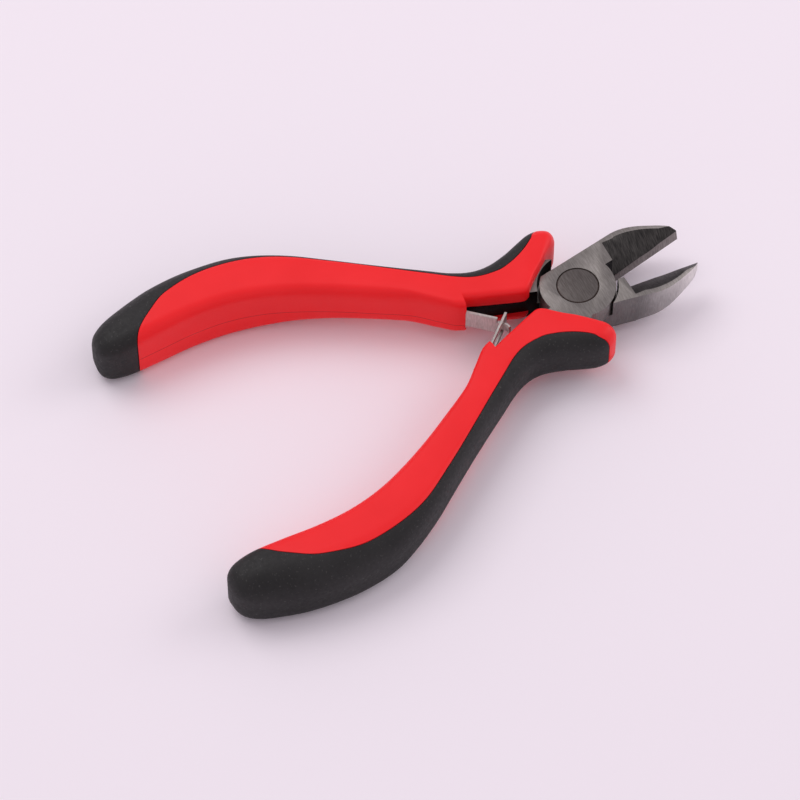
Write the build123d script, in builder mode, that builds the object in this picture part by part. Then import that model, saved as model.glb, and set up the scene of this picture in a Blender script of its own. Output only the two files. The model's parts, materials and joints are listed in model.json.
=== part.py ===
from build123d import *
import os
from math import cos, radians, sin

# Flush cut pliers: two crossing levers on one rivet, held open by two leaf springs.
# The pliers lie flat, half open. +X runs towards the jaws, +Z up, and Z = 0 is the
# surface that the handles rest on. The right lever has its handle at -Y and its jaw
# at +Y, and its cheek is the upper one. The left lever is the other way round.

os.makedirs("parts", exist_ok=True)

# ---------------------------------------------------------------- driving dimensions
PIVOT_TO_REAR = 86.8      # from the rivet's axis back to the end of the handles
PIVOT_TO_TIP = 24.1       # from the rivet's axis to the jaw tips
HALF_OPEN = 8.8           # how far each lever stands open from closed, degrees

HANDLE_T = 13.0           # handle thickness at the belly
JOINT_T = 7.8             # both cheeks together
CHEEK_GAP = 0.04          # running gap between the two cheeks
TANG_T = 4.0              # tang inside the handle
MID = HANDLE_T / 2        # the plane where the cheeks meet
JOINT_TOP = MID + JOINT_T / 2
JOINT_BOTTOM = MID - JOINT_T / 2

CHEEK_R = 7.25            # round of a cheek about the pivot
STEP_R = 7.75             # hollow that the other lever's cheek turns in
SHOULDER_R = 10.8         # the levers are full thickness out to here
RIVET_HEAD_R = 4.1
RIVET_SHANK_R = 2.6
RIVET_HEAD_T = 1.5
RIVET_FIT = 0.05          # running clearance of the rivet in the left lever

EDGE_ROOT = 8.78          # where the cutting edge starts, from the pivot
EDGE_ROOT_Z = MID - 2.4   # the cutting edge rises towards the tip
EDGE_TIP_Z = MID - 0.6
BEVEL_W = 0.35            # steep narrow bevel above the cutting edge
BEVEL_H = 1.5
BEVEL_TIP_H = 1.9
TIP_W = 0.6
RELIEF_ROOT = (9.72, 5.27)  # corner of the relief face on the jaw's top
BLADE_LAP = 0.3           # how far the blade reaches back into its root
FLUSH_DROP = 0.25         # fall of the flush side, mm per mm away from the edge
NOSE_FROM = 12.5          # the jaw thins towards its tip from here
NOSE_DROP = 1.6           # and is this much lower at the tip
THROAT = 0.9              # half width of the hole left behind the closed edges

LEAF_T = 0.5
LEAF_W = 4.5
LEAF_ANGLE = 41.7         # the leaves stand at this angle to the X axis
LEAF_ROOT = (-34.0, 16.0)
LEAF_LIFT = 1.0           # the leaves stand this much above the middle plane
LEAF_TIP = 25.8           # length of the slotted leaf
LEAF_CROSS = 24.05        # where the leaves cross, along a leaf from its root
TONGUE_W = 2.0
SLOT_W = 2.6
SLOT_L = 5.6
SLOT_LAND = 1.2           # metal left past the slot
HOOK_FROM = 0.7           # the tongue runs straight to here, past the crossing
HOOK_RUN = 1.2
HOOK_SIDE = 0.75
PIN_AT = 4.6              # spring rivet, along the leaf from its root
PIN_R = 0.8
PIN_HEAD_R = 1.4
PIN_HEAD_T = 0.4
PIN_L = 3.0               # how far the pin goes into the tang

HANDLE_SPAN = 100.0       # wider than the open handles

PIVOT_X = (PIVOT_TO_REAR - PIVOT_TO_TIP * cos(radians(HALF_OPEN))) / 2
PIVOT = Plane((PIVOT_X, 0, 0))

# ---------------------------------------------------------------- handle outlines
# Seen from above, from the pivot, for a handle at +Y. A handle at -Y is its mirror.
INNER_WALL = [(-80, 25.9), (-73, 25.9), (-65, 26.2), (-57, 25.0), (-50, 22.9), (-40, 17.5),
              (-30, 11.2), (-23.5, 6.6), (-18, 4.6), (-9.8, 1.95)]
NOSE = [(-1.5, 8.9), (0.3, 11.8), (-2.9, 14.7)]
OUTER_WALL = [(-2.9, 14.7), (-8, 13.1), (-14, 11.7), (-20, 13.6), (-35, 23.6), (-47, 32.0),
              (-56, 36.0), (-66, 36.8), (-76, 35.1), (-82, 33.1)]
BUTT = [(-82, 33.1), (-85.6, 31.5), (-PIVOT_TO_REAR, 29.9), (-84.9, 27.1), (-80, 25.9)]
RED_LINE = [(-80.5, 24.0), (-78.7, 27.0), (-75, 30.0), (-70, 32.7), (-61, 34.0), (-50, 31.5),
            (-40, 25.4), (-25, 14.5), (-18, 9.7), (-13, 8.6), (-7, 10.0), (-3.6, 12.6),
            (-1.9, 15.5)]
# Height above the middle plane, and depth below it: the underside lifts off at the waist.
TOP_PROFILE = [(-58, 6.5), (-48, 6.4), (-37, 6.25), (-27, 6.15), (-15, 6.2), (-6, 6.3)]
BOTTOM_PROFILE = [(-58, 6.5), (-48, 5.8), (-37, 4.9), (-27, 4.6), (-15, 4.45), (-6, 4.4)]
BELLY_FROM, FLARE_FROM, FLARE_TO = -58, -6, 3
TANG_WINDOW = [(-22.6, 7.2), (-20, 6.6), (-8, 2.9), (-8, 0), (-22.6, 0)]

TANG_INNER = [(-34, 16.35), (-45, 23.2), (-55, 27.4), (-66, 28.4)]
TANG_OUTER = [(-66, 31.2), (-55, 30.6), (-45, 26.8), (-34, 19.9), (-24, 12.2), (-18, 8.7),
              (-13, 7.6), (-8, 8.3), (-3.5, 8.4)]
TANG_FRONT = [(-1.5, 7.6), (1.5, 6.0), (4.2, 5.4), (0, 0), (-6.0, 1.8), (-9.5, 2.9),
              (-20, 6.0), (-24, 7.43), (-34, 16.35)]

# The jaw in its closed place: the cutting edge lies on the X axis, jaw at +Y.
JAW_FLAT = [(-4.4, 5.73), (10.6, 6.04)]
JAW_CURVE = [(10.6, 6.04), (14.1, 6.0), (17.0, 5.25), (20.0, 3.75), (23.3, 1.6)]
JAW_STEP = [(EDGE_ROOT, 0.0), (9.86, 6.02)]
JAW_ROOT_CORNER = (8.94, THROAT)


def mirrored(points, side):
    """The same outline for a handle at +Y (side 1) or at -Y (side -1)."""
    return [(x, side * y) for x, y in points]


# ---------------------------------------------------------------- levers
def face_through(a, b, c):
    """The plane through three points, facing up."""
    across = (b - a).cross(c - a)
    return Plane(a, x_dir=b - a, z_dir=across if across.Z > 0 else across * -1)


def make_blade(side):
    """The ground cutting part of one jaw, standing open by HALF_OPEN."""
    turn = radians(side * HALF_OPEN)
    jaw = Plane((PIVOT_X, 0, 0), x_dir=(cos(turn), sin(turn), 0), z_dir=(0, 0, 1))

    def at(x, y, z):
        return jaw.from_local_coords(Vector(x, side * y, z))

    root = at(EDGE_ROOT, 0, EDGE_ROOT_Z)
    tip = at(PIVOT_TO_TIP, 0, EDGE_TIP_Z)
    relief = face_through(at(*RELIEF_ROOT, JOINT_TOP),
                          at(PIVOT_TO_TIP, BEVEL_W, EDGE_TIP_Z + BEVEL_TIP_H),
                          at(EDGE_ROOT, BEVEL_W, EDGE_ROOT_Z + BEVEL_H))
    nose = face_through(at(NOSE_FROM, 0, JOINT_TOP), at(NOSE_FROM, 1, JOINT_TOP),
                        at(PIVOT_TO_TIP, 0, JOINT_TOP - NOSE_DROP))
    bevel = face_through(root, tip, at(EDGE_ROOT, BEVEL_W, EDGE_ROOT_Z + BEVEL_H))
    flush = face_through(root, tip, at(EDGE_ROOT, 1, EDGE_ROOT_Z - FLUSH_DROP))
    outer_lap = (JAW_STEP[1][0] - BLADE_LAP, JAW_STEP[1][1])
    inner_lap = (JAW_ROOT_CORNER[0] - BLADE_LAP, THROAT)
    with BuildPart() as blade:
        with BuildSketch(jaw.offset(JOINT_BOTTOM)):
            with BuildLine():
                Polyline(*mirrored([JAW_STEP[1], outer_lap, inner_lap, JAW_ROOT_CORNER,
                                    (EDGE_ROOT, 0), (PIVOT_TO_TIP, 0), (PIVOT_TO_TIP, TIP_W),
                                    JAW_CURVE[-1]], side))
                Spline(*mirrored(JAW_CURVE[::-1], side), tangents=[(-1, side * 0.9), (-1, 0)])
                Line(*mirrored([JAW_CURVE[0], JAW_STEP[1]], side))
            make_face()
        extrude(amount=JOINT_T)
        split(bisect_by=nose, keep=Keep.BOTTOM)
        split(bisect_by=relief, keep=Keep.BOTTOM)
        split(bisect_by=bevel, keep=Keep.BOTTOM)
        split(bisect_by=flush, keep=Keep.TOP)
    return blade.part


def make_lever(side, *holes):
    """One forged lever: half-thickness cheek, jaw at `side`, tang into the other handle."""
    turn = radians(side * HALF_OPEN)
    jaw = Plane((PIVOT_X, 0, 0), x_dir=(cos(turn), sin(turn), 0), z_dir=(0, 0, 1))
    other_half = JOINT_BOTTOM if side > 0 else MID - CHEEK_GAP / 2
    blade = make_blade(side)
    with BuildPart() as lever:
        with BuildSketch(jaw.offset(JOINT_BOTTOM)):
            Circle(CHEEK_R)
            with Locations((0, side * (JAW_FLAT[0][1] + CHEEK_R))):
                Rectangle(4 * CHEEK_R, 2 * CHEEK_R, mode=Mode.SUBTRACT)
            with BuildLine():
                Polyline(*mirrored([JAW_FLAT[0], JAW_STEP[1], JAW_ROOT_CORNER, (0, THROAT)], side),
                         close=True)
            make_face()
        extrude(amount=JOINT_T)
        with BuildSketch(PIVOT.offset(MID - TANG_T / 2)) as tang:
            with BuildLine():
                Spline(*mirrored(TANG_INNER, -side))
                Line(*mirrored([TANG_INNER[-1], TANG_OUTER[0]], -side))
                Spline(*mirrored(TANG_OUTER, -side))
                Polyline(*mirrored([TANG_OUTER[-1]] + TANG_FRONT, -side))
            make_face()
        extrude(amount=TANG_T)
        with BuildSketch(PIVOT.offset(JOINT_BOTTOM)):
            add(tang.sketch_local)
            Circle(SHOULDER_R, mode=Mode.INTERSECT)
        extrude(amount=JOINT_T)
        with BuildSketch(PIVOT.offset(other_half)):
            Circle(STEP_R)
        extrude(amount=JOINT_T / 2 + CHEEK_GAP / 2, mode=Mode.SUBTRACT)
        add(blade)
        for hole in holes:
            add(hole, mode=Mode.SUBTRACT)
    return lever.part


def make_rivet():
    """Plain rivet with a flush head on each cheek."""
    with BuildPart() as rivet:
        with BuildSketch(PIVOT.offset(JOINT_BOTTOM)):
            Circle(RIVET_HEAD_R)
        extrude(amount=RIVET_HEAD_T)
        with BuildSketch(PIVOT.offset(JOINT_BOTTOM)):
            Circle(RIVET_SHANK_R)
        extrude(amount=JOINT_T)
        with BuildSketch(PIVOT.offset(JOINT_TOP - RIVET_HEAD_T)):
            Circle(RIVET_HEAD_R)
        extrude(amount=RIVET_HEAD_T)
    return rivet.part


def make_rivet_hole():
    """The room that the turning lever leaves round the rivet."""
    with BuildPart() as hole:
        with BuildSketch(PIVOT.offset(JOINT_BOTTOM - 1)):
            Circle(RIVET_HEAD_R + RIVET_FIT)
        extrude(amount=RIVET_HEAD_T + RIVET_FIT + 1)
        with BuildSketch(PIVOT.offset(JOINT_BOTTOM)):
            Circle(RIVET_SHANK_R + RIVET_FIT)
        extrude(amount=JOINT_T)
    return hole.part


# ---------------------------------------------------------------- leaf springs
def leaf_plane(side):
    """Plane of a leaf: x along the leaf from its root, z out of its face into the tang."""
    lean = radians(LEAF_ANGLE)
    root = Vector(PIVOT_X + LEAF_ROOT[0], side * LEAF_ROOT[1], MID + LEAF_LIFT)
    return Plane(root, x_dir=(cos(lean), -side * sin(lean), 0), z_dir=(sin(lean), side * cos(lean), 0))


def make_slotted_leaf(side):
    """Flat leaf with a slot for the other leaf's tongue."""
    with BuildPart() as leaf:
        with BuildSketch(leaf_plane(side).offset(-LEAF_T / 2)):
            with Locations((LEAF_TIP / 2, 0)):
                Rectangle(LEAF_TIP, LEAF_W)
            with Locations((LEAF_TIP - SLOT_LAND - SLOT_L / 2, 0)):
                Rectangle(SLOT_L, SLOT_W, mode=Mode.SUBTRACT)
            with Locations((PIN_AT, 0)):
                Circle(PIN_R, mode=Mode.SUBTRACT)
        extrude(amount=LEAF_T)
    return leaf.part


def make_tongue_leaf(side):
    """Flat leaf that ends in a narrow tongue, hooked over behind the slot."""
    neck = LEAF_CROSS - 1.0
    with BuildPart() as leaf:
        with BuildSketch(leaf_plane(side).offset(-LEAF_T / 2)):
            with Locations((neck / 2, 0)):
                Rectangle(neck, LEAF_W)
            with Locations((PIN_AT, 0)):
                Circle(PIN_R, mode=Mode.SUBTRACT)
        extrude(amount=LEAF_T)
        lean = leaf_plane(side)
        profile = Plane(lean.origin, x_dir=lean.x_dir, z_dir=(0, 0, 1))
        with BuildSketch(profile.offset(-TONGUE_W / 2)):
            with BuildLine() as hook:
                start = Line((neck - 0.2, 0), (LEAF_CROSS + HOOK_FROM, 0))
                end = start @ 1 + Vector(HOOK_RUN, -side * HOOK_SIDE)
                TangentArc(start @ 1, end, tangent=start % 1)
            trace(line_width=LEAF_T)
        extrude(amount=TONGUE_W)
    return leaf.part


def make_spring_rivet(side):
    """Small headed pin that holds a leaf's root to the tang."""
    plane = leaf_plane(side)
    with BuildPart() as pin:
        with BuildSketch(plane.offset(-LEAF_T / 2 - PIN_HEAD_T)):
            with Locations((PIN_AT, 0)):
                Circle(PIN_HEAD_R)
        extrude(amount=PIN_HEAD_T)
        with BuildSketch(plane.offset(-LEAF_T / 2)):
            with Locations((PIN_AT, 0)):
                Circle(PIN_R)
        extrude(amount=PIN_L)
    return pin.part


# ---------------------------------------------------------------- handles
def make_handle(side):
    """The whole moulded handle, before it is parted into its red and black plastics."""
    with BuildPart() as handle:
        with BuildSketch(PIVOT):
            with BuildLine():
                Spline(*mirrored(INNER_WALL, side), tangents=[(1, 0), (1, -0.27 * side)])
                Line(*mirrored([INNER_WALL[-1], NOSE[0]], side))
                Spline(*mirrored(NOSE, side), tangents=[(8.3, side * 7.0), (-1, -0.15 * side)])
                Spline(*mirrored(OUTER_WALL, side), tangents=[(-1, -0.15 * side), (-1, -0.35 * side)])
                Spline(*mirrored(BUTT, side), tangents=[(-1, -0.35 * side), (1, 0)])
            make_face()
        extrude(amount=HANDLE_T)
        with BuildSketch(Plane.XZ.offset(-HANDLE_SPAN / 2)):
            with BuildLine():
                Spline(*[(PIVOT_X + x, MID + up) for x, up in TOP_PROFILE],
                       tangents=[(1, 0), (1, 0)])
                Polyline((PIVOT_X + FLARE_FROM, MID + TOP_PROFILE[-1][1]),
                         (PIVOT_X + FLARE_TO, MID + TOP_PROFILE[-1][1]),
                         (PIVOT_X + FLARE_TO, MID - BOTTOM_PROFILE[-1][1]),
                         (PIVOT_X + FLARE_FROM, MID - BOTTOM_PROFILE[-1][1]))
                Spline(*[(PIVOT_X + x, MID - down) for x, down in BOTTOM_PROFILE[::-1]],
                       tangents=[(-1, 0), (-1, 0)])
                Polyline((PIVOT_X + BELLY_FROM, 0), (PIVOT_X - PIVOT_TO_REAR - 1, 0),
                         (PIVOT_X - PIVOT_TO_REAR - 1, HANDLE_T), (PIVOT_X + BELLY_FROM, HANDLE_T))
            make_face()
        extrude(amount=HANDLE_SPAN, mode=Mode.INTERSECT)
    return handle.part


def make_red_zone(side):
    """Everything on the inner side of the line where the two plastics meet."""
    with BuildPart() as zone:
        with BuildSketch(PIVOT):
            with BuildLine():
                Spline(*mirrored(RED_LINE, side))
                Polyline(*mirrored([RED_LINE[-1], (-1.9, 20), (5, 20), (5, -5), (-80.5, -5),
                                    RED_LINE[0]], side))
            make_face()
        extrude(amount=HANDLE_T)
    return zone.part


def make_tang_window(side):
    """The opening between the lips, where the tang shows on the handle's inner side."""
    with BuildPart() as window:
        with BuildSketch(PIVOT.offset(MID - TANG_T / 2)):
            with BuildLine():
                Polyline(*mirrored(TANG_WINDOW, side), close=True)
            make_face()
        extrude(amount=TANG_T)
    return window.part


def make_sleeve(side, *held):
    """Hard red sleeve moulded round the tang and the leaf's root."""
    handle, zone, window = make_handle(side), make_red_zone(side), make_tang_window(side)
    with BuildPart() as sleeve:
        add(handle)
        add(zone, mode=Mode.INTERSECT)
        add(window, mode=Mode.SUBTRACT)
        for piece in held:
            add(piece, mode=Mode.SUBTRACT)
    return sleeve.part


def make_grip(side):
    """Soft black grip over the outer side and the butt."""
    handle, zone = make_handle(side), make_red_zone(side)
    with BuildPart() as grip:
        add(handle)
        add(zone, mode=Mode.SUBTRACT)
    return grip.part


# ---------------------------------------------------------------- the pieces
def write(piece, name):
    """Label a finished piece and write it as one STEP file."""
    piece.label = name
    export_step(piece, f"parts/{name}.step")


pivot_rivet = make_rivet()
write(pivot_rivet, "pivot_rivet")

for name, jaw_side in (("right", 1), ("left", -1)):
    handle_side = -jaw_side
    make_leaf = make_slotted_leaf if name == "right" else make_tongue_leaf
    leaf = make_leaf(handle_side)
    pin = make_spring_rivet(handle_side)
    # The rivet is set fast in the right lever and turns in the left one.
    rivet_seat = pivot_rivet if name == "right" else make_rivet_hole()
    lever = make_lever(jaw_side, rivet_seat, pin)
    write(lever, name + "_lever")
    write(leaf, name + "_leaf_spring")
    write(pin, name + "_spring_rivet")
    write(make_sleeve(handle_side, lever, leaf, pin), name + "_red_sleeve")
    write(make_grip(handle_side), name + "_black_grip")
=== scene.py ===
import json
from math import cos, pi, radians, sin

import bmesh
import bpy
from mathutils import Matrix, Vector


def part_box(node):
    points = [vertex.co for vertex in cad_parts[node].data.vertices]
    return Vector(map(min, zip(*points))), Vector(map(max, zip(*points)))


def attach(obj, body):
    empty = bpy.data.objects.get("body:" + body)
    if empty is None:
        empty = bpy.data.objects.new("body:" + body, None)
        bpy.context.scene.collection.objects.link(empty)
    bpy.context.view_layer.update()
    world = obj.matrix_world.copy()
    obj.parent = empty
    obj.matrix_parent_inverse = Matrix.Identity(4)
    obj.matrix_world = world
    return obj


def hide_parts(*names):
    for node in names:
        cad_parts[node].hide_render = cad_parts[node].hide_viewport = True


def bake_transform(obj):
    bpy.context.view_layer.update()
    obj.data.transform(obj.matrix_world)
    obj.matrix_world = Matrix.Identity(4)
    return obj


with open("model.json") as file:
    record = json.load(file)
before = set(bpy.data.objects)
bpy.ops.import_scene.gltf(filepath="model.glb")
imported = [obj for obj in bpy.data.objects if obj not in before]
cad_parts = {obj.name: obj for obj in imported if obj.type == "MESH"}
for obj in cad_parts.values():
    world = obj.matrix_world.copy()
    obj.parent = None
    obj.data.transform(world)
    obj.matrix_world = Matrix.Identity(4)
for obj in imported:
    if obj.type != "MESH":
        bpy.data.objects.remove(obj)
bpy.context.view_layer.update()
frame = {"nodes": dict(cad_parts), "record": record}

# ---------------------------------------------------------------- frame and sizes
MM = 0.001
HINGE = frame["record"]["behaviour"]["joints"][0]
PIVOT = Vector(HINGE["pos_m"]) / MM          # millimetres, in the shared frame
MID = PIVOT.z
HALF_OPEN = 8.8                              # each jaw's angle from closed, degrees
RIGHT, LEFT = "right_half", "left_half"


def place(x, y, z):
    """A point given in mm from the pivot, and from the mid plane upwards, in metres."""
    return Vector((PIVOT.x + x, PIVOT.y + y, MID + z)) * MM


# ---------------------------------------------------------------- camera, light, floor
AZIMUTH, ELEVATION = -27.1, 56.0             # where the camera stands, degrees
CAMERA_AIM = (-40.7, -5.9, 0.5)              # mm from the pivot and the mid plane
CAMERA_AWAY = 0.782                          # metres
CAMERA_CLIP = 20.0                           # metres
LENS, SENSOR = 189.0, 36.0                   # mm
STAGE_MIDDLE = (0, 0, 0)
SKY_COLOUR, SKY_STRENGTH = (0.93, 0.87, 0.93, 1), 0.66
# Soft lights: name, position and size in metres, power in watts, colour.
LIGHTS = [
    ("key", (-0.25, 0.55, 0.9), (0.7, 0.7), 3.4, (1.0, 0.97, 0.98)),
    ("side", (0.75, -0.1, 0.45), (0.5, 0.5), 1.5, (1.0, 0.98, 0.99)),
]
FLOOR_HALF, FLOOR_DROP = 1.5, 0.00005        # metres
FLOOR_COLOUR = (0.95, 0.885, 0.945, 1)


def add_camera():
    azimuth, elevation = radians(AZIMUTH), radians(ELEVATION)
    back = Vector((sin(azimuth) * cos(elevation), -cos(azimuth) * cos(elevation), sin(elevation)))
    data = bpy.data.cameras.new("camera")
    data.lens = LENS
    data.sensor_width = SENSOR
    data.clip_end = CAMERA_CLIP
    camera = bpy.data.objects.new("camera", data)
    bpy.context.collection.objects.link(camera)
    camera.location = place(*CAMERA_AIM) + back * CAMERA_AWAY
    camera.rotation_euler = back.to_track_quat("Z", "Y").to_euler()
    bpy.context.scene.camera = camera


def add_area(name, at, size, power, colour):
    data = bpy.data.lights.new(name, "AREA")
    data.shape = "RECTANGLE"
    data.size, data.size_y = size
    data.energy = power
    data.color = colour
    light = bpy.data.objects.new(name, data)
    bpy.context.collection.objects.link(light)
    light.location = at
    light.rotation_euler = (Vector(at) - Vector(STAGE_MIDDLE)).to_track_quat("Z", "Y").to_euler()


def add_stage():
    bpy.context.scene.view_settings.view_transform = "Standard"
    world = bpy.data.worlds.new("studio")
    world.use_nodes = True
    background = world.node_tree.nodes["Background"]
    background.inputs["Color"].default_value = SKY_COLOUR
    background.inputs["Strength"].default_value = SKY_STRENGTH
    bpy.context.scene.world = world
    for light in LIGHTS:
        add_area(*light)
    mesh = bpy.data.meshes.new("floor")
    half = FLOOR_HALF
    mesh.from_pydata([(-half, -half, 0), (half, -half, 0), (half, half, 0), (-half, half, 0)],
                     [], [(0, 1, 2, 3)])
    floor = bpy.data.objects.new("floor", mesh)
    bpy.context.collection.objects.link(floor)
    floor.location.z = -FLOOR_DROP
    material, tree, shader = new_material("floor_paper")
    shader.inputs["Base Color"].default_value = FLOOR_COLOUR
    shader.inputs["Roughness"].default_value = 0.6
    grain = noise(tree, 900.0, 3.0)
    bump(tree, shader, grain, 0.02, 0.00005)
    floor.data.materials.append(material)


# ---------------------------------------------------------------- material helpers
MIX_A, MIX_B, MIX_RESULT = 6, 7, 2           # the Mix node's colour sockets
PAINTED_LIGHT_FROM, PAINTED_LIGHT_TO = 9.0, 21.0                 # along X, where the ground flank grows brighter: painted shade at the root, painted highlight towards the tip
MOULD_LINE, MOULD_LINE_HALF = -0.9, 0.07     # line round the red plastic, from the mid plane


def new_material(name):
    material = bpy.data.materials.new(name)
    material.use_nodes = True
    tree = material.node_tree
    return material, tree, tree.nodes["Principled BSDF"]


def coordinates(tree, scale=(1.0, 1.0, 1.0), turn=0.0):
    """Object coordinates, stretched and turned about Z."""
    source = tree.nodes.new("ShaderNodeTexCoord")
    mapping = tree.nodes.new("ShaderNodeMapping")
    mapping.inputs["Scale"].default_value = scale
    mapping.inputs["Rotation"].default_value = (0, 0, turn)
    tree.links.new(source.outputs["Object"], mapping.inputs["Vector"])
    return mapping.outputs["Vector"]


def noise(tree, scale, detail=2.0, stretch=(1.0, 1.0, 1.0), turn=0.0):
    node = tree.nodes.new("ShaderNodeTexNoise")
    node.inputs["Scale"].default_value = scale
    node.inputs["Detail"].default_value = detail
    tree.links.new(coordinates(tree, stretch, turn), node.inputs["Vector"])
    return node.outputs["Fac"]


def ramp(tree, value, stops):
    node = tree.nodes.new("ShaderNodeValToRGB")
    elements = node.color_ramp.elements
    while len(elements) < len(stops):
        elements.new(0.5)
    for element, (position, colour) in zip(elements, stops):
        element.position = position
        element.color = (*colour, 1)
    tree.links.new(value, node.inputs["Fac"])
    return node.outputs["Color"]


def grey(level):
    return (level, level, level)


def combine(tree, kind, first, second, factor=1.0):
    node = tree.nodes.new("ShaderNodeMix")
    node.data_type = "RGBA"
    node.blend_type = kind
    node.inputs["Factor"].default_value = factor
    tree.links.new(first, node.inputs[MIX_A])
    tree.links.new(second, node.inputs[MIX_B])
    return node.outputs[MIX_RESULT]


def add_up(tree, *values):
    total = values[0]
    for value in values[1:]:
        node = tree.nodes.new("ShaderNodeMath")
        tree.links.new(total, node.inputs[0])
        tree.links.new(value, node.inputs[1])
        total = node.outputs[0]
    return total


def bump(tree, shader, height, strength, distance):
    node = tree.nodes.new("ShaderNodeBump")
    node.inputs["Strength"].default_value = strength
    node.inputs["Distance"].default_value = distance
    tree.links.new(height, node.inputs["Height"])
    tree.links.new(node.outputs["Normal"], shader.inputs["Normal"])


def painted_light_towards_tip(tree, painted_root_shade, painted_tip_light):
    """A tone that changes along X: painted shade at the jaw's root, lightening to painted light at
    its tip.
    """
    split = tree.nodes.new("ShaderNodeSeparateXYZ")
    tree.links.new(coordinates(tree), split.inputs["Vector"])
    span = tree.nodes.new("ShaderNodeMapRange")
    tree.links.new(split.outputs["X"], span.inputs["Value"])
    span.inputs["From Min"].default_value = (PIVOT.x + PAINTED_LIGHT_FROM) * MM
    span.inputs["From Max"].default_value = (PIVOT.x + PAINTED_LIGHT_TO) * MM
    return ramp(tree, span.outputs["Result"], [(0.0, grey(painted_root_shade)), (1.0, grey(painted_tip_light))])


def make_steel(name, dark, light, roughness, stroke_turn, strokes=1.0, painted_root_shade=1.0):
    """Ground steel: fine strokes one way, soft mottling, and painted shade at the root that
    lightens to painted light towards the tip.
    """
    material, tree, shader = new_material(name)
    shader.inputs["Metallic"].default_value = 1.0
    brush = noise(tree, 700.0, 4.0, (7.0, 0.8, 1.0), stroke_turn)
    fine = noise(tree, 2600.0, 3.0, (1.0, 1.0, 1.0), stroke_turn)
    cloud = noise(tree, 260.0, 4.0)
    tone = ramp(tree, brush, [(0.3, dark), (0.7, light)])
    mottle = ramp(tree, cloud, [(0.3, grey(0.78)), (0.75, grey(1.0))])
    worn = combine(tree, "MULTIPLY", tone, mottle)
    # Painted shade at the jaw's root, lightening to painted light towards the tip.
    shade = painted_light_towards_tip(tree, painted_root_shade, 1.0)
    tree.links.new(combine(tree, "MULTIPLY", worn, shade), shader.inputs["Base Color"])
    rough = ramp(tree, fine, [(0.25, grey(roughness - 0.08)), (0.8, grey(roughness + 0.12))])
    tree.links.new(rough, shader.inputs["Roughness"])
    bump(tree, shader, add_up(tree, brush, fine), 0.25 * strokes, 0.00003)
    return material


def make_red():
    """Satin red plastic, with a faint moulded grain and the mould's parting line."""
    material, tree, shader = new_material("red_plastic")
    cloud = noise(tree, 90.0, 2.0)
    tone = ramp(tree, cloud, [(0.3, (0.90, 0.011, 0.015)), (0.7, (0.96, 0.015, 0.020))])
    split = tree.nodes.new("ShaderNodeSeparateXYZ")
    tree.links.new(coordinates(tree), split.inputs["Vector"])
    near_line = tree.nodes.new("ShaderNodeMath")
    near_line.operation = "COMPARE"
    tree.links.new(split.outputs["Z"], near_line.inputs[0])
    near_line.inputs[1].default_value = (MID + MOULD_LINE) * MM
    near_line.inputs[2].default_value = MOULD_LINE_HALF * MM
    line = ramp(tree, near_line.outputs["Value"], [(0.0, grey(1.0)), (1.0, (0.55, 0.4, 0.4))])
    tree.links.new(combine(tree, "MULTIPLY", tone, line), shader.inputs["Base Color"])
    grain = noise(tree, 2600.0, 2.0)
    rough = ramp(tree, grain, [(0.3, grey(0.40)), (0.7, grey(0.50))])
    tree.links.new(rough, shader.inputs["Roughness"])
    shader.inputs["Specular IOR Level"].default_value = 0.30
    shader.inputs["Subsurface Weight"].default_value = 0.08
    shader.inputs["Subsurface Radius"].default_value = (0.6, 0.1, 0.08)
    shader.inputs["Subsurface Scale"].default_value = 0.001
    bump(tree, shader, grain, 0.10, 0.00004)
    return material


def make_black():
    """Matt black rubber with a fine grain and specks of pale dust."""
    material, tree, shader = new_material("black_rubber")
    cloud = noise(tree, 120.0, 4.0)
    tone = ramp(tree, cloud, [(0.3, (0.010, 0.0095, 0.0095)), (0.75, (0.019, 0.018, 0.018))])
    dust = noise(tree, 2600.0, 1.0)
    speck = ramp(tree, dust, [(0.66, grey(0.0)), (0.76, (0.035, 0.035, 0.033))])
    tree.links.new(combine(tree, "ADD", tone, speck), shader.inputs["Base Color"])
    grain = noise(tree, 1500.0, 4.0)
    rough = ramp(tree, grain, [(0.3, grey(0.50)), (0.7, grey(0.66))])
    tree.links.new(rough, shader.inputs["Roughness"])
    shader.inputs["Specular IOR Level"].default_value = 0.34
    bump(tree, shader, add_up(tree, grain, cloud), 0.22, 0.00006)
    return material


# ---------------------------------------------------------------- mesh helpers
def curve_through(points, steps):
    """Points on a smooth curve through the given points (Catmull-Rom), `steps` per span."""
    ends = [points[0]] + list(points) + [points[-1]]
    result = []
    for i in range(1, len(ends) - 2):
        p0, p1, p2, p3 = (Vector(p) for p in ends[i - 1:i + 3])
        for k in range(steps):
            t = k / steps
            result.append(0.5 * (2 * p1 + (p2 - p0) * t + (2 * p0 - 5 * p1 + 4 * p2 - p3) * t ** 2
                                 + (3 * p1 - p0 - 3 * p2 + p3) * t ** 3))
    result.append(Vector(points[-1]))
    return result


def add_piece(name, mesh, material=None):
    piece = bpy.data.objects.new(name, mesh)
    bpy.context.collection.objects.link(piece)
    if material:
        mesh.materials.clear()
        mesh.materials.append(material)
    return piece


def bake_modifiers(piece):
    """Replaces the piece's mesh by what its modifiers make of it."""
    bpy.context.view_layer.update()
    evaluated = piece.evaluated_get(bpy.context.evaluated_depsgraph_get())
    mesh = bpy.data.meshes.new_from_object(evaluated)
    piece.modifiers.clear()
    piece.data = mesh


def smooth(piece, angle):
    """Smooth shading, with edges sharper than `angle` degrees kept."""
    for polygon in piece.data.polygons:
        polygon.use_smooth = True
    piece.data.set_sharp_from_angle(angle=radians(angle))


def tidy_normals(mesh):
    """Joins doubled points and turns every face outwards."""
    form = bmesh.new()
    form.from_mesh(mesh)
    bmesh.ops.remove_doubles(form, verts=form.verts, dist=1e-7)
    bmesh.ops.recalc_face_normals(form, faces=form.faces)
    form.to_mesh(mesh)
    form.free()


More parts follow.
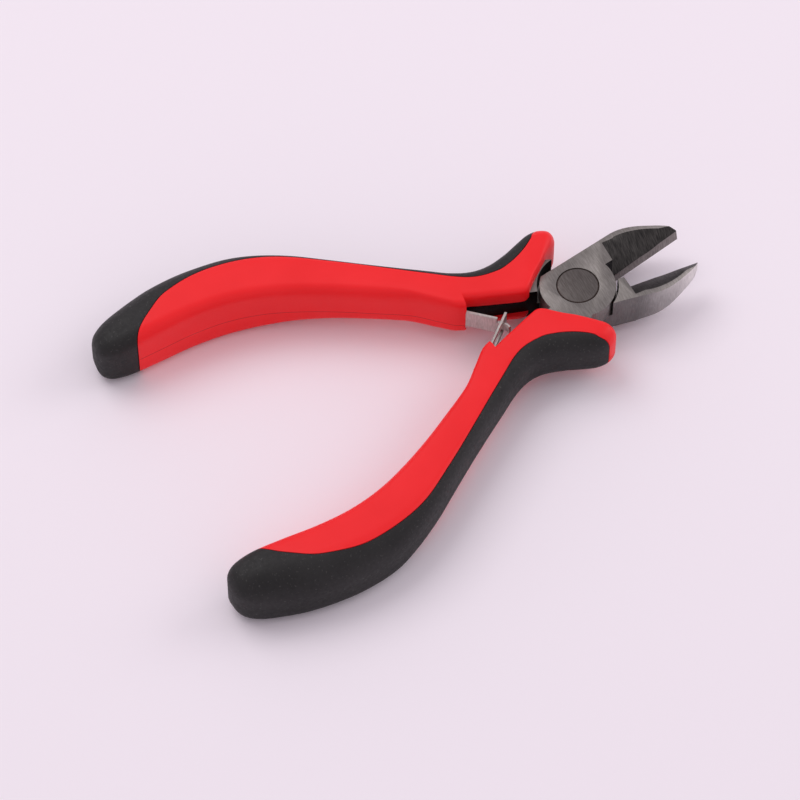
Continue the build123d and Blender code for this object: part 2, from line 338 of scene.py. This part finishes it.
def prism(name, outline, low, high):
    """A solid standing on an outline, given in mm from the pivot and the mid plane."""
    mesh = bpy.data.meshes.new(name)
    count = len(outline)
    verts = [place(x, y, z) for z in (low, high) for x, y in outline]
    sides = [(i, (i + 1) % count, count + (i + 1) % count, count + i) for i in range(count)]
    ends = [tuple(range(count))[::-1], tuple(range(count, 2 * count))]
    mesh.from_pydata(verts, [], ends + sides)
    tidy_normals(mesh)
    return add_piece(name, mesh)


def boolean(piece, cutter, operation):
    modifier = piece.modifiers.new("boolean", "BOOLEAN")
    modifier.object = cutter
    modifier.operation = operation
    modifier.solver = "EXACT"
    bake_modifiers(piece)
    bpy.data.objects.remove(cutter)


# ---------------------------------------------------------------- handles
# Stations from the butt to the nose, for a handle at +Y, in mm from the pivot: the inner
# wall's point, the outer wall's point, the height above and the depth below the mid plane,
# and the edge radii: inside, outside at the top, outside at the bottom.
STATIONS = [
    (-87.2, 29.1, -87.1, 30.2, 0.9, 1.9, 0.2, 0.2, 0.2),
    (-87.0, 28.0, -86.6, 31.4, 2.8, 4.2, 0.9, 1.4, 1.0),
    (-86.3, 26.7, -85.4, 32.8, 4.3, 5.6, 1.9, 3.0, 1.8),
    (-84.5, 25.7, -83.0, 34.2, 5.4, 6.35, 2.6, 4.8, 2.2),
    (-80.8, 25.3, -78.7, 35.7, 6.1, 6.5, 2.6, 5.8, 2.4),
    (-75.0, 25.6, -73.8, 36.9, 6.4, 6.5, 2.3, 5.4, 2.5),
    (-68.0, 26.0, -67.6, 37.5, 6.45, 6.5, 2.1, 5.2, 2.6),
    (-61.0, 25.6, -62.0, 37.3, 6.4, 6.5, 2.1, 5.0, 2.7),
    (-54.5, 24.1, -56.5, 36.4, 6.35, 6.2, 2.3, 4.6, 2.8),
    (-48.5, 21.7, -51.5, 34.5, 6.3, 5.3, 2.5, 4.2, 2.9),
    (-42.0, 18.4, -46.0, 31.4, 6.2, 4.65, 2.7, 3.8, 2.9),
    (-36.0, 14.9, -40.5, 27.5, 6.15, 4.35, 2.8, 3.6, 2.9),
    (-30.0, 11.3, -34.8, 23.4, 6.1, 4.15, 2.5, 3.5, 2.8),
    (-26.0, 8.15, -29.5, 19.8, 6.1, 3.9, 2.0, 3.5, 2.7),
    (-23.4, 6.5, -24.3, 16.4, 6.1, 3.7, 1.5, 3.4, 2.6),
    (-21.2, 6.15, -20.5, 13.9, 6.1, 3.5, 1.2, 3.3, 2.5),
    (-18.0, 4.9, -17.0, 12.2, 6.15, 3.55, 1.1, 3.1, 2.4),
    (-15.0, 3.8, -13.5, 11.75, 6.2, 3.65, 1.1, 3.0, 2.4),
    (-12.3, 2.8, -9.5, 12.6, 6.25, 3.75, 1.1, 3.2, 2.4),
    (-10.3, 2.2, -6.0, 13.9, 6.3, 3.8, 1.1, 3.4, 2.4),
    (-9.2, 2.5, -3.4, 14.7, 6.3, 3.8, 1.2, 3.2, 2.2),
    (-8.2, 3.4, -1.4, 14.75, 6.25, 3.8, 1.3, 3.0, 2.1),
    (-6.8, 4.7, -0.1, 14.3, 6.2, 3.8, 1.4, 2.8, 2.0),
    (-5.0, 6.1, 0.9, 13.5, 6.1, 3.8, 1.5, 2.6, 1.9),
    (-3.2, 7.6, 1.35, 12.5, 5.7, 3.7, 1.6, 2.5, 1.7),
    (-1.7, 8.8, 1.25, 11.6, 5.0, 3.4, 1.4, 2.1, 1.4),
    (-0.6, 9.5, 0.8, 10.8, 3.9, 2.7, 0.5, 0.6, 0.5),
]
ROWS_PER_SPAN = 6
ARC_CELLS, FLAT_CELLS, WALL_CELLS = 7, 8, 4
EDGE_DROP = 1.15          # an outer edge is this much taller than it is wide
CROWN = 0.22              # how much lower the edges of the top and the bottom are
STEP_X = -21.6            # the thick rear wall ends here in a step
STEP_RISE = 1.7
STEP_LENGTH = 8.0         # the swelling behind the step fades out over this length
# The parting line of the two plastics seen from above, from the butt to the nose.
RED_LINE = [(-80.5, 24.0), (-78.7, 27.0), (-75, 30.0), (-70, 32.7), (-61, 34.0), (-50, 31.5),
            (-40, 25.4), (-25, 14.5), (-18, 9.7), (-13, 8.6), (-9.8, 9.1), (-6.8, 10.3),
            (-4.2, 11.9), (-1.8, 14.0), (0.5, 16.5)]
# Front end of the black patch seen from the side: how far forward it reaches at each height.
PATCH_FRONT = [(-7.5, 9), (-5.8, 7.5), (-3.6, 6.3), (-1.7, 4.9), (-0.5, 3.0), (0.2, 1.0),
               (0.45, -1.0), (0.0, -2.6), (-1.4, -3.7), (-4.0, -4.6), (-7.5, -9)]
SEAM = 0.07               # half the width of the groove between the plastics
ZONE_HALF = 9             # the parting blocks reach past the handle by these
ZONE_FRONT, ZONE_SHOULDER, ZONE_INSIDE = 8, 13, -8
NOSE_FRONT, NOSE_FROM, NOSE_TO = 9, 5, 24
# The opening in the red sleeve that shows the tang, and its reach from the mid plane.
WINDOW = [(-21.5, 8.2), (-19, 7.2), (-7.2, 3.6), (-7.2, -1), (-21.5, -1)]
WINDOW_BOTTOM, WINDOW_TOP = -2.05, 2.6
HANDLE_SHARP = 38         # degrees


def half_section(width, half, inner_r, outer_r):
    """From the inner wall at the mid plane over the top edge to the outer wall."""
    arc, flat, wall = ARC_CELLS, FLAT_CELLS, WALL_CELLS
    inner_r = min(inner_r, 0.45 * width, half)
    outer_r = min(outer_r, 0.5 * width, half * 0.9)
    drop = min(outer_r * EDGE_DROP, half)
    points = [(0.0, (half - inner_r) * k / wall) for k in range(wall)]
    for k in range(arc + 1):
        angle = pi / 2 * k / arc
        points.append((inner_r * (1 - cos(angle)), half - inner_r * (1 - sin(angle))))
    for k in range(1, flat):
        points.append((inner_r + (width - inner_r - outer_r) * k / flat, half))
    for k in range(arc + 1):
        angle = pi / 2 * k / arc
        points.append((width - outer_r * (1 - sin(angle)), half - drop * (1 - cos(angle))))
    for k in range(1, wall + 1):
        points.append((width, (half - drop) * (1 - k / wall)))
    return [(u, z - CROWN * (z / half) * (2 * u / width - 1) ** 2) for u, z in points]


def section(width, above, below, inner_r, top_r, bottom_r):
    """One closed cross-section: distance from the inner wall, height from the mid plane."""
    top = half_section(width, above, inner_r, top_r)
    bottom = half_section(width, below, inner_r, bottom_r)
    return top + [(u, -z) for u, z in bottom[-2:0:-1]]


def make_handle(side):
    """The whole moulded handle as one closed mesh, following the stations."""
    rows = curve_through([Vector(row) for row in STATIONS], ROWS_PER_SPAN)
    rings = []
    for row in rows:
        behind = max(0.0, STEP_X - row[0])
        swell = STEP_RISE * max(0.0, 1 - behind / STEP_LENGTH) ** 1.5 if row[0] < STEP_X else 0.0
        rings.append((row, swell))
    step = min(i for i, row in enumerate(rows) if row[0] >= STEP_X)
    rings.insert(step, (rows[step], STEP_RISE))
    verts, faces = [], []
    for row, swell in rings:
        inner, outer = Vector(row[0:2]), Vector(row[2:4])
        direction = (outer - inner).normalized()
        inner = inner - direction * swell
        outline = section((outer - inner).length, *row[4:9])
        for u, z in outline:
            point = inner + direction * u
            verts.append(place(point.x, side * point.y, z))
    count = len(outline)
    for i in range(len(rings) - 1):
        for k in range(count):
            a, b = i * count + k, i * count + (k + 1) % count
            faces.append((a, b, b + count, a + count))
    last = (len(rings) - 1) * count
    faces.append(tuple(range(count))[::-1])
    faces.append(tuple(range(last, last + count)))
    mesh = bpy.data.meshes.new("handle")
    mesh.from_pydata(verts, [], faces)
    tidy_normals(mesh)
    return add_piece("handle", mesh)


def red_zone(side, shift):
    """A block covering the red side of the parting line, moved outwards by `shift`."""
    line = curve_through([Vector(p) for p in RED_LINE], 10)
    moved = []
    for i, point in enumerate(line):
        along = (line[min(i + 1, len(line) - 1)] - line[max(i - 1, 0)]).normalized()
        moved.append(point + Vector((-along.y, along.x)) * shift)
    outline = [(p.x, p.y) for p in moved] + [(ZONE_FRONT, ZONE_SHOULDER), (ZONE_FRONT, ZONE_INSIDE)]
    outline.append((RED_LINE[0][0] - shift, ZONE_INSIDE))
    zone = prism("zone", [(x, side * y) for x, y in outline], -ZONE_HALF, ZONE_HALF)
    front = curve_through([Vector(p) for p in PATCH_FRONT], 8)
    outline = [(p.x - shift, p.y) for p in front]
    outline += [(NOSE_FRONT, -ZONE_HALF), (NOSE_FRONT, ZONE_HALF)]
    nose = prism("nose", outline, NOSE_FROM, NOSE_TO)
    for vert in nose.data.vertices:
        x, z, y = vert.co / MM - Vector((PIVOT.x, PIVOT.y, MID))
        vert.co = place(x, side * y, z)
    tidy_normals(nose.data)
    boolean(zone, nose, "UNION")
    return zone


def make_grips(name, side, body, red, black):
    """A handle's red sleeve and black grip, parted along a fine groove."""
    sleeve = make_handle(side)
    sleeve.name = name + "_sleeve_shell"
    grip = add_piece(name + "_grip_shell", sleeve.data.copy())
    boolean(sleeve, red_zone(side, -SEAM), "INTERSECT")
    boolean(grip, red_zone(side, SEAM), "DIFFERENCE")
    outline = [(x, side * y) for x, y in WINDOW]
    boolean(sleeve, prism("window", outline, WINDOW_BOTTOM, WINDOW_TOP), "DIFFERENCE")
    for piece, material, node in ((sleeve, red, "red_sleeve"), (grip, black, "black_grip")):
        piece.data.materials.clear()
        piece.data.materials.append(material)
        smooth(piece, HANDLE_SHARP)
        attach(piece, body)
        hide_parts(name + "_" + node)


# ---------------------------------------------------------------- steel
# Corners of the flat relief face on a jaw: along the jaw, outwards, and from the mid plane.
RELIEF_FACE = [(9.72, 5.27, 3.9), (24.1, 0.35, 1.3), (8.78, 0.35, -0.9)]
WHEEL_R = 22.0            # the relief is ground hollow by a wheel of this radius
WHEEL_DEPTH = 0.6         # how far it sinks in at the outer corner
WHEEL_AHEAD = 1.2         # its middle is this much nearer to the tip than the face's middle
WHEEL_SIDES = 320
STEP_LINE = ((8.95, 0.0), (10.0, 6.02))  # the hollow stops at the jaw's root
EDGE_ROOT = 8.7           # the cutting edge starts this far along the jaw
THROAT_FROM = 7.0         # the throat between the jaws, blackened
CHEEK_EDGE = 7.6          # beyond this radius and behind TANG_FRONT is the blackened tang
TANG_FRONT, TANG_HALF = 2, 2.2
UPRIGHT, LEVEL = 0.3, 0.985              # a normal's rise: below stands upright, above lies level
FACES_OUT, FACES_IN = 0.3, -0.8          # a normal's lean away from, and towards, the other jaw
FLAT_ANGLE, ARRIS_ANGLE = 0.6, 28        # degrees: faces joined below, edges broken above
ARRIS = 0.00012           # metres
STEEL_SHARP, RIVET_SHARP = 32, 25        # degrees
# Material slots: the relief's steel is painted near black and the bevel's dark (painted shade), the
# ground slot's steel near white (painted highlight).
CHEEK_SLOT, PAINTED_DARK_RELIEF_SLOT, PAINTED_LIGHT_SLOT, PAINTED_SHADE_BEVEL_SLOT, OXIDE_SLOT = range(5)
RIVET_HEAD_T, RIVET_SHANK_R = 1.5, 2.6
RIVET_CHAMFER, RIVET_CROWN, RIVET_SIDES = 0.16, 0.03, 96


def grinding_wheel(along, out):
    """A cylinder lying on the jaw's bevel and sunk into the relief face's outer side."""
    corners = [along * a + out * o + Vector((0, 0, z)) for a, o, z in RELIEF_FACE]
    length = (corners[1] - corners[2]).normalized()
    normal = (corners[1] - corners[0]).cross(corners[2] - corners[0]).normalized()
    if normal.z < 0:
        normal.negate()
    bottom = (corners[1] + corners[2]) / 2 + length * WHEEL_AHEAD
    rise = corners[0] - bottom
    rise -= length * rise.dot(length)
    start = bottom + normal * WHEEL_R
    end = bottom + rise + normal * (WHEEL_R - WHEEL_DEPTH)
    form = bmesh.new()
    bmesh.ops.create_cone(form, cap_ends=True, segments=WHEEL_SIDES, radius1=WHEEL_R * MM,
                          radius2=WHEEL_R * MM, depth=4 * rise.length * MM)
    middle = (start + end) / 2
    pose = (end - start).to_track_quat("Z", "Y").to_matrix().to_4x4()
    pose.translation = place(middle.x, middle.y, middle.z)
    form.transform(pose)
    root, far = (along * a + out * o for a, o in STEP_LINE)
    stop = (far - root).cross(Vector((0, 0, 1)))
    if stop.dot(along) < 0:
        stop.negate()
    cut = bmesh.ops.bisect_plane(form, geom=form.verts[:] + form.edges[:] + form.faces[:],
                                 plane_co=place(root.x, root.y, 0), plane_no=stop, clear_inner=True)
    rim = [item for item in cut["geom_cut"] if isinstance(item, bmesh.types.BMEdge)]
    bmesh.ops.contextual_create(form, geom=rim)
    mesh = bpy.data.meshes.new("wheel")
    form.to_mesh(mesh)
    form.free()
    tidy_normals(mesh)
    return add_piece("wheel", mesh)


def make_lever(name, jaw_side, body, materials):
    """The CAD lever with a hollow relief and broken arrises; its faces get the cheek steel, the
    black oxide, or a ground steel painted pale or dark by the way each face turns (painted
    highlight and painted shade).
    """
    turn = radians(jaw_side * HALF_OPEN)
    along = Vector((cos(turn), sin(turn), 0))
    out = Vector((-sin(turn), cos(turn), 0)) * jaw_side
    mesh = frame["nodes"][name + "_lever"].data.copy()
    piece = add_piece(name + "_lever_steel", mesh)
    tidy_normals(mesh)
    boolean(piece, grinding_wheel(along, out), "DIFFERENCE")
    mesh = piece.data
    form = bmesh.new()
    form.from_mesh(mesh)
    bmesh.ops.remove_doubles(form, verts=form.verts, dist=2e-6)
    bmesh.ops.dissolve_limit(form, angle_limit=radians(FLAT_ANGLE), verts=form.verts,
                             edges=form.edges)
    bmesh.ops.recalc_face_normals(form, faces=form.faces)
    for face in form.faces:
        centre = face.calc_center_median() / MM - Vector((PIVOT.x, PIVOT.y, 0))
        reach = centre.dot(along)
        face.material_index = CHEEK_SLOT
        up, outwards = face.normal.z, face.normal.dot(out)
        behind = centre.xy.length > CHEEK_EDGE and centre.x < TANG_FRONT
        # Faces turned outwards or downwards get the pale steel as a painted highlight; tilted
        # relief faces and faces towards the other jaw get dark steel as painted shade.
        if abs(up) <= UPRIGHT and outwards > FACES_OUT and centre.x > 0:
            face.material_index = PAINTED_LIGHT_SLOT
        elif reach > EDGE_ROOT:
            if UPRIGHT < up < LEVEL:
                face.material_index = PAINTED_DARK_RELIEF_SLOT
            if outwards < FACES_IN:
                face.material_index = PAINTED_SHADE_BEVEL_SLOT
            if up < -UPRIGHT:
                face.material_index = PAINTED_LIGHT_SLOT
        elif reach > THROAT_FROM and abs(up) < UPRIGHT:
            face.material_index = OXIDE_SLOT
        elif behind and abs(centre.z - MID) < TANG_HALF:
            face.material_index = OXIDE_SLOT
    sharp = [edge for edge in form.edges
             if edge.is_manifold and edge.calc_face_angle() > radians(ARRIS_ANGLE)]
    bmesh.ops.bevel(form, geom=sharp, offset=ARRIS, offset_type="OFFSET", segments=2, profile=0.6,
                    affect="EDGES", clamp_overlap=True, material=-1)
    mesh.materials.clear()
    for material in materials:
        mesh.materials.append(material)
    form.to_mesh(mesh)
    form.free()
    smooth(piece, STEEL_SHARP)
    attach(piece, body)
    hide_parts(name + "_lever")


def make_rivet(material, rim_shade):
    """The rivet: two heads with a small chamfer, with painted shade round the rim, on a thinner
    shank.
    """
    low, high = (Vector(corner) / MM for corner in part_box("pivot_rivet"))
    radius, chamfer, count = (high.x - low.x) / 2, RIVET_CHAMFER, RIVET_SIDES
    profile = [(0.0, high.z), (radius - 2 * chamfer, high.z),
               (radius - chamfer, high.z - RIVET_CROWN),
               (radius, high.z - 1.2 * chamfer), (radius, high.z - RIVET_HEAD_T),
               (RIVET_SHANK_R, high.z - RIVET_HEAD_T)]
    profile += [(r, low.z + high.z - z) for r, z in profile[::-1]]
    form = bmesh.new()
    rings = []
    for r, z in profile:
        if r == 0:
            rings.append([form.verts.new(Vector((PIVOT.x, PIVOT.y, z)) * MM)])
            continue
        rings.append([form.verts.new(Vector((PIVOT.x + r * cos(2 * pi * k / count),
                                             PIVOT.y + r * sin(2 * pi * k / count), z)) * MM)
                      for k in range(count)])
    for i in range(len(rings) - 1):
        upper, lower = rings[i], rings[i + 1]
        for k in range(count):
            nxt = (k + 1) % count
            corners = [upper[k % len(upper)], upper[nxt % len(upper)],
                       lower[nxt % len(lower)], lower[k % len(lower)]]
            face = form.faces.new(list(dict.fromkeys(corners)))
            widest = max(profile[i][0], profile[i + 1][0])
            # The rim's chamfer and the head's sides get the darker steel: painted shade.
            face.material_index = 1 if widest >= radius - chamfer else 0
    bmesh.ops.recalc_face_normals(form, faces=form.faces)
    mesh = bpy.data.meshes.new("pivot_rivet_turned")
    mesh.materials.append(material)
    mesh.materials.append(rim_shade)
    form.to_mesh(mesh)
    form.free()
    piece = add_piece("pivot_rivet_turned", mesh)
    smooth(piece, RIVET_SHARP)
    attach(piece, RIGHT)
    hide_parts("pivot_rivet")


# ---------------------------------------------------------------- leaf springs
LEAF_ROOT = (-34.0, 16.0)
LEAF_ANGLE = radians(41.7)
LEAF_W, LEAF_T = 4.5, 0.5
LEAF_SOFT = 0.00006       # the leaves' broken edges, metres
LEAF_SHARP = 35           # degrees
LEAF_CROSS = 24.05        # how far along them the leaves cross
LEAF_LIFT = 1.0           # the leaves stand this much above the mid plane
SLOT_FROM, SLOT_TO, SLOT_HALF = 19.0, 24.6, 1.3
SLOTTED_END = 25.8        # the right leaf ends here
TONGUE_NECK, TONGUE_TIP, TONGUE_HALF = LEAF_CROSS - 1.0, LEAF_CROSS + 1.8, 1.0
HOOK_FROM, HOOK_R = LEAF_CROSS + 0.5, 1.3
# Cells along the right leaf's plain part and slot, and the left leaf's plain part and tongue.
PLAIN_CELLS, SLOT_CELLS, NECK_CELLS, TONGUE_CELLS = 38, 12, 46, 14


def leaf_point(side, s, z, hook_from):
    """A point on a leaf's middle surface; past `hook_from` along it, the leaf hooks over."""
    straight = min(s, hook_from)
    x = LEAF_ROOT[0] + straight * cos(LEAF_ANGLE)
    y = LEAF_ROOT[1] - straight * sin(LEAF_ANGLE)
    extra = s - straight
    turn = extra / HOOK_R
    x += HOOK_R * (sin(LEAF_ANGLE + turn) - sin(LEAF_ANGLE))
    y += HOOK_R * (cos(LEAF_ANGLE + turn) - cos(LEAF_ANGLE))
    return place(x, side * y, z + LEAF_LIFT)


def make_leaf(name, side, material, stations, across, hook_from, keep):
    """A flat strip made of cells along its length (s) and width (z), then thickened."""
    form = bmesh.new()
    grid = [[form.verts.new(leaf_point(side, s, z, hook_from)) for z in across] for s in stations]
    for i in range(len(stations) - 1):
        for k in range(len(across) - 1):
            s, z = (stations[i] + stations[i + 1]) / 2, (across[k] + across[k + 1]) / 2
            if keep(s, z):
                form.faces.new((grid[i][k], grid[i + 1][k], grid[i + 1][k + 1], grid[i][k + 1]))
    loose = [vert for vert in form.verts if not vert.link_faces]
    bmesh.ops.delete(form, geom=loose, context="VERTS")
    bmesh.ops.recalc_face_normals(form, faces=form.faces)
    mesh = bpy.data.meshes.new(name)
    form.to_mesh(mesh)
    form.free()
    piece = add_piece(name + "_strip", mesh, material)
    thick = piece.modifiers.new("thick", "SOLIDIFY")
    thick.thickness = LEAF_T * MM
    thick.offset = 0.0
    soft = piece.modifiers.new("soft", "BEVEL")
    soft.width = LEAF_SOFT
    soft.segments = 1
    soft.limit_method = "ANGLE"
    bake_modifiers(piece)
    smooth(piece, LEAF_SHARP)
    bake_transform(piece)
    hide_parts(name)


def evenly(start, end, count):
    """`count` stations from `start`, evenly spaced, up to but without `end`."""
    return [start + (end - start) * k / count for k in range(count)]


def columns(half_opening):
    """Across a leaf: its edges, the opening's or tongue's edges, and the middle."""
    return [-LEAF_W / 2, -half_opening, 0.0, half_opening, LEAF_W / 2]


def make_leaves(material):
    slotted = evenly(0.0, SLOT_FROM, PLAIN_CELLS) + evenly(SLOT_FROM, SLOT_TO, SLOT_CELLS)
    slotted += [SLOT_TO, (SLOT_TO + SLOTTED_END) / 2, SLOTTED_END]
    make_leaf("right_leaf_spring", -1, material, slotted, columns(SLOT_HALF), SLOTTED_END,
              lambda s, z: not (SLOT_FROM < s < SLOT_TO and abs(z) < SLOT_HALF))
    tongue = evenly(0.0, TONGUE_NECK, NECK_CELLS)
    tongue += evenly(TONGUE_NECK, TONGUE_TIP, TONGUE_CELLS)
    tongue += [TONGUE_TIP]
    make_leaf("left_leaf_spring", 1, material, tongue, columns(TONGUE_HALF), HOOK_FROM,
              lambda s, z: s < TONGUE_NECK or abs(z) < TONGUE_HALF)


# ---------------------------------------------------------------- the model
add_camera()
add_stage()

RED, BLACK = make_red(), make_black()
# Steels: name, dark tone, light tone, roughness, turn of the strokes, their strength, and the
# painted shade at the jaw's root.
# The cheek and ground steels get painted shade at the jaw's root (their last number), lightening to
# painted light towards the tip.
CHEEK = make_steel("cheek_steel", (0.37, 0.345, 0.32), (0.54, 0.505, 0.48), 0.42, 0.15, 1.0, 0.56)
# The relief, ground and bevel steels are one ground steel in tones picked by the way the faces
# turn: near black on the relief and dark on the bevel (painted shade), near white on the ground
# flank (painted highlight).
RELIEF_STEEL_PAINTED_DARK = make_steel("relief_steel_painted_dark", (0.035, 0.034, 0.033), (0.105, 0.099, 0.094), 0.44, 0.15, 2.0)
GROUND_STEEL_PAINTED_LIGHT = make_steel("ground_steel_painted_light", (0.66, 0.635, 0.615), (0.90, 0.875, 0.85), 0.36, 1.2, 1.0, 0.24)
BEVEL = make_steel("bevel_steel_painted_shade", (0.17, 0.155, 0.145), (0.30, 0.28, 0.265), 0.40, 0.0)
OXIDE = make_steel("black_oxide", (0.008, 0.008, 0.008), (0.02, 0.02, 0.02), 0.5, 1.2)
RIVET = make_steel("rivet_steel", (0.115, 0.10, 0.095), (0.18, 0.165, 0.155), 0.38, 1.45)
# Darker steel for the rivet heads' rims: painted shade.
RIVET_RIM_SHADE = make_steel("rivet_rim_painted_shade", (0.04, 0.030, 0.026), (0.09, 0.070, 0.063), 0.55, 0.0)
LEAF = make_steel("leaf_steel", (0.50, 0.47, 0.44), (0.68, 0.64, 0.61), 0.34, 0.7)

make_grips("right", -1, RIGHT, RED, BLACK)
make_grips("left", 1, LEFT, RED, BLACK)
# The cheek steel, the three painted-light tones of the ground steel, and the black oxide.
FINISHES_AND_PAINTED_LIGHT = (CHEEK, RELIEF_STEEL_PAINTED_DARK, GROUND_STEEL_PAINTED_LIGHT, BEVEL, OXIDE)
make_lever("right", 1, RIGHT, FINISHES_AND_PAINTED_LIGHT)
make_lever("left", -1, LEFT, FINISHES_AND_PAINTED_LIGHT)
make_rivet(RIVET, RIVET_RIM_SHADE)
make_leaves(LEAF)
for pin in ("right_spring_rivet", "left_spring_rivet"):
    frame["nodes"][pin].material_slots[0].material = RIVET
